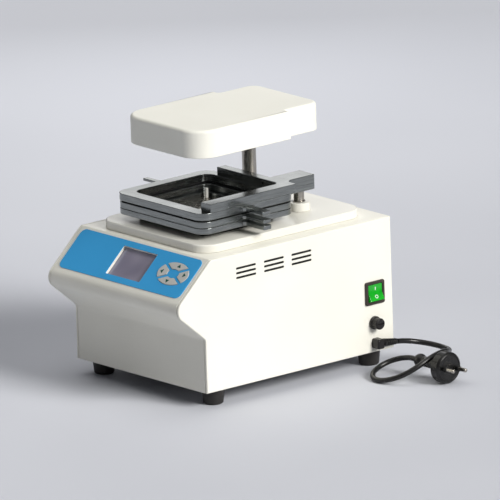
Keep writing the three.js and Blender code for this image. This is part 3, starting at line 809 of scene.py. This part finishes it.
def add_sides():
    """Two side panels, and black sheets of painted shade behind the right one's vents."""
    wall = housing_outline(0)
    left = slab("left_wall", wall, -HALF_WIDTH, -HALF_WIDTH + SIDE_SHEET, top=0.3,
                bottom=SIDE_EDGE, place=SIDE, steps=5)
    piece(left, "housing", "housing_white", WHITE, "side_panel_left")
    holes = side_vents(0, 0.98)
    y, z = SWITCH["y"], SWITCH["z"]
    half_y, half_z = SWITCH["hole_y"], SWITCH["hole_z"]
    holes.append(rectangle(y - half_y, y + half_y, z - half_z, z + half_z, 1))
    holes.append(disc(FUSE["y"], FUSE["z"], FUSE["hole_r"]))
    holes.append(disc(GLAND["y"], GLAND["z"], GLAND["hole_r"]))
    right = slab("right_wall", wall, HALF_WIDTH - SIDE_SHEET, HALF_WIDTH, holes, top=SIDE_EDGE,
                 bottom=0.3, hole_edge=0.3, place=SIDE, steps=5)
    piece(right, "housing", "housing_white", WHITE, "side_panel_right")
    # Black sheets just inside the vent slots are painted shade: they stand in for the dark inside
    # of the housing.
    vent_shades = [
        slab("vent_shade", vent, COVER_HALF + 0.4, HALF_WIDTH - 0.5, top=0.1, bottom=0.1, place=SIDE)
        for vent in side_vents(VENT_PLAY, 0.9)
    ]
    piece(joined("painted_vent_shade", vent_shades), "housing", "black_plastic", SHADE_BLACK)


def add_rear():
    """The rear sheet with three columns of slots."""
    half_x, half_z, corner = (REAR_VENT[k] for k in ("half_x", "half_z", "corner"))
    slots = [
        rectangle(x - half_x, x + half_x, z - half_z, z + half_z, corner, 15)
        for z in REAR_VENT["z"] for x in REAR_VENT["x"]
    ]
    sheet = rectangle(-COVER_HALF, COVER_HALF, FOOT_HEIGHT, HOUSING_TOP - SHEET - GAP, 1)
    rear = slab("back_sheet", sheet, -REAR, -REAR + SHEET, slots, top=0.2, bottom=0.4,
                hole_edge=0.2, place=FACING)
    piece(rear, "housing", "housing_white", WHITE, "rear_panel")


def add_feet():
    """Four tapered rubber feet."""
    for side, x in (("left", -FOOT_X), ("right", FOOT_X)):
        for end, y in zip(("front", "rear"), FOOT_Y):
            foot = turned(f"rubber_foot_{end}_{side}", FOOT_PROFILE, at(x, y, 0))
            piece(foot, "housing", "foot_rubber", RUBBER, f"foot_{end}_{side}")


# ---- control slope ------------------------------------
def add_controls():
    """The overlay, the display and the four keys on the slope."""
    x, v0, v1, corner, t = (OVERLAY[k] for k in ("x", "v0", "v1", "corner", "t"))
    film = slab("film", rectangle(-x, x, v0, v1, corner, 5), 0.05, t, slope_windows(), top=0.15,
                bottom=0, hole_edge=0.1, place=SLOPE, steps=2)
    piece(film, "housing", "overlay_blue", BLUE, "panel_overlay")
    add_display()
    for name in KEYS:
        add_key(name)


def add_display():
    """A pale frame that lines the window, with the glass behind it."""
    lap = lcd_window(LCD_LAP)
    ring = slab("display_frame", lap, -LCD["depth"], -SHEET - GAP, [lcd_window()], top=0.2,
                bottom=0, place=SLOPE)
    piece(ring, "housing", "platform_white", SATIN, "lcd_frame")
    lens = -LCD["depth"] - GAP
    glass = slab("display_glass", lap, lens - 1.2, lens, top=0.1, bottom=0.1, place=SLOPE)
    piece(glass, "housing", "screen_grey", SCREEN, "lcd_lens")
    carried(PLASTIC, "lcd_module")
    carried(BOARD, "control_board")


def add_key(name):
    """One quarter key with its arrow."""
    body = f"key_{name}_body"
    cap = slab(f"button_{name}", key_points(*KEYS[name], KEY_PLAY), -4, 1.2, top=0.5, bottom=0.1,
               place=SLOPE, steps=4)
    piece(cap, body, "key_grey", KEY, f"key_{name}")
    x, v, turn = ARROWS[name]
    spot = SLOPE @ at(x, v, 0) @ Matrix.Rotation(math.radians(turn), 4, "Z")
    outline = rounded([(*p, 0.2) for p in ARROW])
    arrow = slab(f"arrow_{name}", outline, 1.15, 1.3, top=0.05, bottom=0, place=spot, steps=1)
    piece(arrow, body, "key_grey", MARK)


# ---- right-hand fittings ------------------------------
def rocker_outline():
    """A round bar about the pivot, with an upright flat above and a leaning flat below."""
    r, flat, low, back = (ROCKER[k] for k in ("r", "flat", "low", "back"))
    top = math.acos(flat / r)
    turns = [low + (back - low) * k / 12 for k in range(13)]
    points = [(r * math.cos(top), r * math.sin(top)), (flat, 0)]
    points += [(r * math.cos(t), r * math.sin(t)) for t in turns]
    points.append((r * math.cos(-back), r * math.sin(-back)))
    return [Vector(p) for p in points]


def add_switch():
    """The bezel, the dark well behind it, and the rocker with its marks."""
    y, z, half_y, half_z = (SWITCH[k] for k in ("y", "z", "half_y", "half_z"))
    face = rectangle(y - half_y, y + half_y, z - half_z, z + half_z, 2.4)
    pocket_y, pocket_z = SWITCH["pocket_y"], SWITCH["pocket_z"]
    pocket = rectangle(y - pocket_y, y + pocket_y, z - pocket_z, z + pocket_z, 0.8)
    bezel = slab("switch_bezel", face, OUTSIDE, OUTSIDE + SWITCH["lip"], [pocket], top=1.1,
                 bottom=0.1, hole_edge=0.5, place=SIDE, steps=4)
    piece(bezel, "housing", "black_plastic", BROWN, "switch_housing")
    half_y, half_z, back, hollow = (SWITCH_BOX[k] for k in ("half_y", "half_z", "back", "hollow"))
    box = rectangle(y - half_y, y + half_y, z - half_z, z + half_z, 1)
    well = slab("switch_well", box, back, OUTSIDE - 0.02, top=0.1, place=SIDE)
    tool = slab("tool", pocket, hollow, OUTSIDE + 5, top=0, bottom=0, place=SIDE)
    piece(carve(well, tool), "housing", "black_plastic", PLASTIC)

    half = ROCKER["half"]
    rocker = slab("rocker_cap", rocker_outline(), -y - half, -y + half, top=0.7, bottom=0.7,
                  place=at(ROCKER["x"], 0, z) @ FACING, steps=4)
    piece(rocker, "rocker", "rocker_green", GREEN, "switch_rocker")
    add_marks(y, z)


def add_marks(y, z):
    """A stroke on the rocker's upper flat and a ring on its lower one."""
    x, r, flat, low = (ROCKER[k] for k in ("x", "r", "flat", "low"))
    line = rectangle(y - 0.5, y + 0.5, z + 3.4, z + 7.2, 0.2)
    stroke = slab("mark_on", line, x + flat, x + flat + MARK_LIFT, top=0, bottom=0, place=SIDE)
    piece(stroke, "rocker", "rocker_green", MARK_WHITE)
    tip = Vector((r * math.cos(low), r * math.sin(low)))
    tilt = Matrix.Rotation(-math.atan2(tip.x - flat, -tip.y), 4, "Y")
    spot = at(x + (flat + tip.x) / 2, y, z + tip.y / 2) @ tilt @ SIDE
    ring = slab("mark_off", disc(0, 0, 2.2, 40), 0, MARK_LIFT, [disc(0, 0, 1.5, 40)], top=0,
                bottom=0, place=spot)
    piece(ring, "rocker", "rocker_green", MARK_WHITE)


def add_fuse():
    """The fuse holder's flange, and its knurled cap with a screwdriver slot."""
    spot = at(0, FUSE["y"], FUSE["z"])
    tip = FUSE["tip"]
    flange = [
        (6.3, 92, 0.5), (6.3, OUTSIDE, 0), (8, OUTSIDE, 0.2), (8, 123.6, 1), (5, 123.9, 0),
    ]
    holder = turned("fuse_flange", flange, spot, 48, along_x=True)
    piece(holder, "housing", "black_plastic", PLASTIC, "fuse_holder")
    knob = [
        (5.6, 124, 0), (6.9, 124.3, 0.4), (6.9, tip - 1.2, 0.6), (6.2, tip, 0.8), (2, tip, 0),
    ]
    cap = turned("fuse_knob", knob, spot, 48, along_x=True)
    slot = rectangle(-5, 5, -0.8, 0.8, 0.2)
    tools = [slab("tool", slot, tip - 1.6, tip + 1, top=0, bottom=0, place=spot @ SIDE)]
    groove = rectangle(-0.35, 0.35, 6.6, 8, 0.15)
    for k in range(FUSE["knurls"]):
        turn = Matrix.Rotation(2 * math.pi * k / FUSE["knurls"], 4, "X")
        place = spot @ turn @ SIDE
        tools.append(slab("tool", groove, 125.4, tip - 1.8, top=0, bottom=0, place=place))
    piece(carve(cap, *tools), "fuse_cap_body", "black_plastic", PLASTIC, "fuse_cap")


# ---- platform and frames ------------------------------
def frame_outline(inset=0.0):
    """The square outline that the stacked frames share, moved in by an inset."""
    x, front, rear, corner = (FRAME[k] for k in ("x", "front", "rear", "corner"))
    return rectangle(-x + inset, x - inset, front + inset, rear - inset, corner - inset, 5)


def nest_outline(play=0.0):
    """The opening that the nest plate fits in, made smaller by a play."""
    x0, x1, front, rear = (NEST[k] for k in ("x0", "x1", "front", "rear"))
    return rectangle(x0 + play, x1 - play, front + play, rear - play, NEST["corner"] - play)


def add_platform():
    """The raised platform, and the bush that the column slides in."""
    x, front, rear, corner, top = (PLATFORM[k] for k in ("x", "front", "rear", "corner", "top"))
    deck = slab("deck", rectangle(-x, x, front, rear, corner, 4), HOUSING_TOP + GAP, top,
                [column_disc(1)], top=2.0, bottom=0.4, hole_edge=0.4, steps=6)
    piece(deck, "housing", "platform_white", GLOSS, "platform")
    rim = disc(COLUMN["x"], COLUMN["y"], COLUMN["collar_r"], 72)
    collar = slab("bush", rim, top + GAP, top + COLUMN["collar_height"], [column_disc(0.4, 72)],
                  top=1.4, bottom=0.2, hole_edge=0.5, steps=4)
    piece(collar, "housing", "bush_bronze", BRONZE, "column_bush")
    carried(PLASTIC, "frame_riser")


def tab_outline(root, side, reach, half):
    """A finger tab that flares where it meets the frame's side at x = root."""
    y = TAB["y"]
    flare = half + TAB["flare"]
    neck = TAB["flare"] - 0.1
    return rounded([
        (side * root, y - flare, 0), (side * (root + neck), y - half, neck / 2),
        (side * reach, y - half, 2), (side * reach, y + half, 2),
        (side * (root + neck), y + half, neck / 2), (side * root, y + flare, 0),
    ], 15)


def add_tabs(wanted, root):
    """The finger tabs on one body, whose frames end at x = root."""
    for name, (body, side, reach, half, low, high) in TABS.items():
        if body == wanted:
            outline = tab_outline(root, side, reach, half)
            tab = slab(f"{name}_rounded", outline, low, high, top=0.7, bottom=0.7, steps=4)
            piece(tab, body, "milled_aluminium", MILLED, name)


def add_frames():
    """The fixed stack: bottom frame, perforated nest plate, middle frame, seal and pins."""
    inset = FRAME["inset"]
    low = slab("lower_ring", frame_outline(inset), FRAME_FLOOR, FRAME_SPLIT - GAP,
               [nest_outline()], top=0.6, bottom=0.6, hole_edge=0.5)
    piece(low, "housing", "milled_aluminium", MILLED, "bottom_frame")
    x, y, pitch, r = (NEST_HOLE[k] for k in ("x", "y", "pitch", "r"))
    holes = [
        disc(x + pitch * i, y + pitch * j, r, 20) for i in range(-3, 4) for j in range(-2, 3)
    ]
    top = FRAME_FLOOR + NEST["thick"]
    grid = slab("nest_grid", nest_outline(NEST["play"]), FRAME_FLOOR, top, holes, top=0.3,
                bottom=0.2, hole_edge=0.2)
    piece(grid, "housing", "ground_steel", STEEL, "nest_plate")
    middle = slab("middle_ring", frame_outline(inset), FRAME_SPLIT, FRAME_MID_TOP,
                  [rectangle(*LEDGE)], top=0.6, bottom=0.6, hole_edge=0.5)
    piece(middle, "housing", "milled_aluminium", MILLED, "middle_frame")
    seal = slab("seal_ring", frame_outline(3), FRAME_MID_TOP + GAP, CLAMP_FLOOR - GAP,
                [rectangle(*OPENING, 10)], top=0.2, bottom=0.2)
    piece(seal, "housing", "seal_silicone", SILICONE, "frame_seal")
    r, tip = NEST_PIN["r"], NEST_PIN["top"]
    for side, x in NEST_PIN["x"]:
        for end, y in NEST_PIN["y"]:
            pin = turned(f"peg_{end}_{side}", [(r, top + GAP, 0.1), (r, tip, 0.9)], at(x, y, 0), 32)
            piece(pin, "housing", "pin_nylon", NYLON, f"nest_pin_{end}_{side}")
    add_tabs("housing", FRAME["x"] - inset + GAP)


def add_clamp():
    """The swinging frame, the raised rail on it and the arm that reaches the post."""
    ring = slab("clamp_ring", frame_outline(), CLAMP_FLOOR, CLAMP_TOP, [rectangle(*OPENING, 12)],
                top=0.6, bottom=0.6, hole_edge=0.6)
    piece(ring, "clamp", "milled_aluminium", MILLED, "clamp_frame")
    x, start, rear = FRAME["x"], FRAME["front"] + RAIL_START, FRAME["rear"]
    inside, bar = x - RAIL_WIDTH, rear - CROSSBAR
    x0, x1, end = ARM["x0"], ARM["x1"], ARM["rear"]
    rail = rounded([
        (inside, start, 0), (x, start, 0), (x, rear, 3), (x1, rear, 10), (x1, end, 2),
        (x0, end, 2), (x0, rear, 2), (CROSSBAR_END, rear, 0), (CROSSBAR_END, bar, 0),
        (inside, bar, 8),
    ])
    bars = slab("clamp_rail", rail, CLAMP_TOP + 0.02, RAIL_TOP, top=0.6, bottom=0.2)
    piece(bars, "clamp", "milled_aluminium", MILLED, "swing_arm")
    under = rounded([(x0, rear + GAP, 0), (x1, rear + GAP, 0), (x1, end, 2), (x0, end, 2)])
    bore = disc(POST["x"], POST["y"], POST["r"] + 0.35)
    arm = slab("arm_block", under, ARM["floor"], CLAMP_TOP, [bore], top=0.1, bottom=0.6)
    piece(arm, "clamp", "milled_aluminium", MILLED)
    # A near-black disc on the crossbar's face is painted shade in its socket hole.
    turn = Matrix.Rotation(-math.pi / 2, 4, "X")
    spot = at(BAR_SOCKET["x"], 0, BAR_SOCKET["z"]) @ turn
    r = BAR_SOCKET["r"]
    socket = turned("painted_socket_shade", [(r, bar - 0.12, 0), (r, bar + 2, 0)], spot, 32)
    piece(socket, "clamp", "milled_aluminium", SHADE_BLACK)
    add_tabs("clamp", x + GAP)


def add_post():
    """The post that the clamp swings on, standing in its white boss."""
    x, y, r = POST["x"], POST["y"], POST["r"]
    floor = PLATFORM["top"] + GAP
    top = floor + POST["boss_height"]
    boss = slab("boss", disc(x, y, POST["boss_r"], 72), floor, top, [disc(x, y, r + 0.2, 64)],
                top=1.2, bottom=0.4, hole_edge=0.3, steps=5)
    piece(boss, "housing", "platform_white", GLOSS, "post_boss")
    collar = top + GAP
    post = turned("pivot_post", [
        (r, floor, 0.2), (r, collar, 0), (r + 1.3, collar, 0.3), (r + 1.3, collar + 1.5, 0.4),
        (r, collar + 1.5, 0), (r, RAIL_TOP - 6.5, 0.4),
    ], at(x, y, 0))
    piece(post, "housing", "ground_steel", STEEL, "swing_post")


# ---- press head ---------------------------------------
def head_outline(inset=0.0):
    """The head's plan: a wide front and a narrower rear."""
    wide, narrow = HEAD["x"] - inset, HEAD["rear_x"] - inset
    front, waist, rear = HEAD["front"] + inset, HEAD["waist"] - inset, HEAD["rear"] - inset
    nip = 0 if inset else 3
    return rounded([
        (-wide, front, 30 - inset), (wide, front, 30 - inset), (wide, waist, nip),
        (narrow, waist, nip), (narrow, rear, 15 - inset), (-narrow, rear, 15 - inset),
        (-narrow, waist, nip), (-wide, waist, nip),
    ], 4)


def add_head():
    """The hood, its base plate with screws, the platen and the column it rides on."""
    floor, top, wall = HEAD["floor"], HEAD["top"], HEAD["wall"]
    shell = slab("hood", head_outline(), floor, top, top=4, bottom=1, steps=8)
    hollow = slab("tool", head_outline(wall), floor - 5, top - wall, top=0, bottom=0)
    piece(carve(shell, hollow), "press_head", "head_white", SATIN, "head_cover")
    base = floor + 0.5
    plate = slab("hood_floor", head_outline(wall + GAP), base, base + HEAD_PLATE,
                 [column_disc(GAP)], top=0.2, bottom=0.4)
    piece(plate, "press_head", "milled_aluminium", MILLED, "head_base_plate")
    x0, x1, front, rear, low = (PLATEN[k] for k in ("x0", "x1", "front", "rear", "floor"))
    hot = slab("hot_plate", rectangle(x0, x1, front, rear, 6), low, base - GAP, top=0.2,
               bottom=0.8)
    piece(hot, "press_head", "milled_aluminium", MILLED, "heater_platen")
    for x in HOOD_SCREW["x"]:
        for y in HOOD_SCREW["y"]:
            add_screw(f"hood_screw_{x}_{y}".replace("-", "m"), at(x, y, base))
    r = COLUMN["r"]
    profile = [(r, COLUMN["floor"], 1), (r, base + 24, 0.8)]
    column = turned("ram", profile, at(COLUMN["x"], COLUMN["y"], 0), 72)
    piece(column, "press_head", "ground_steel", STEEL, "press_column")
    carried(MICA, "insulation_board")
    carried(MILLED, "head_bracket")


def add_screw(name, place):
    """A low pan head with a hexagon socket, hanging under the head."""
    r, height = HOOD_SCREW["r"], HOOD_SCREW["height"]
    spot = place @ Matrix.Rotation(math.pi, 4, "X")
    head = turned(name, [(r, 0.02, 0), (r, height, 0.9), (1, height, 0)], spot, 32)
    hexagon = disc(0, 0, HOOD_SCREW["socket_r"], 6)
    socket = slab("tool", hexagon, HOOD_SCREW["socket_floor"], 3, top=0, bottom=0, place=spot)
    piece(carve(head, socket), "press_head", "ground_steel", ZINC)


def add_inside():
    """The hidden CAD nodes keep their shapes."""
    carried(ZINC, "power_supply", "drive_motor")
    carried(MILLED, "guide_tube")


def add_floor():
    """A plain pale floor, wide enough to fill every view."""
    bm = bmesh.new()
    bmesh.ops.create_circle(bm, cap_ends=True, segments=96, radius=FLOOR_RADIUS)
    mesh = bpy.data.meshes.new("floor")
    bm.to_mesh(mesh)
    bm.free()
    floor = bpy.data.objects.new("floor", mesh)
    finish = shader("floor", (0.61, 0.625, 0.68), 0.7, Specular_IOR_Level=0.15)
    tint(finish, noise(finish, 1.2, detail=2), (0.585, 0.60, 0.655), (0.64, 0.655, 0.71))
    mesh.materials.append(finish)
    bpy.context.collection.objects.link(floor)


add_camera()
add_world()
for light in LIGHTS:
    add_light(*light)
add_lead()
add_housing()
add_controls()
add_switch()
add_fuse()
add_platform()
add_frames()
add_clamp()
add_post()
add_head()
add_inside()
add_floor()
bpy.context.scene.view_settings.view_transform = "Standard"
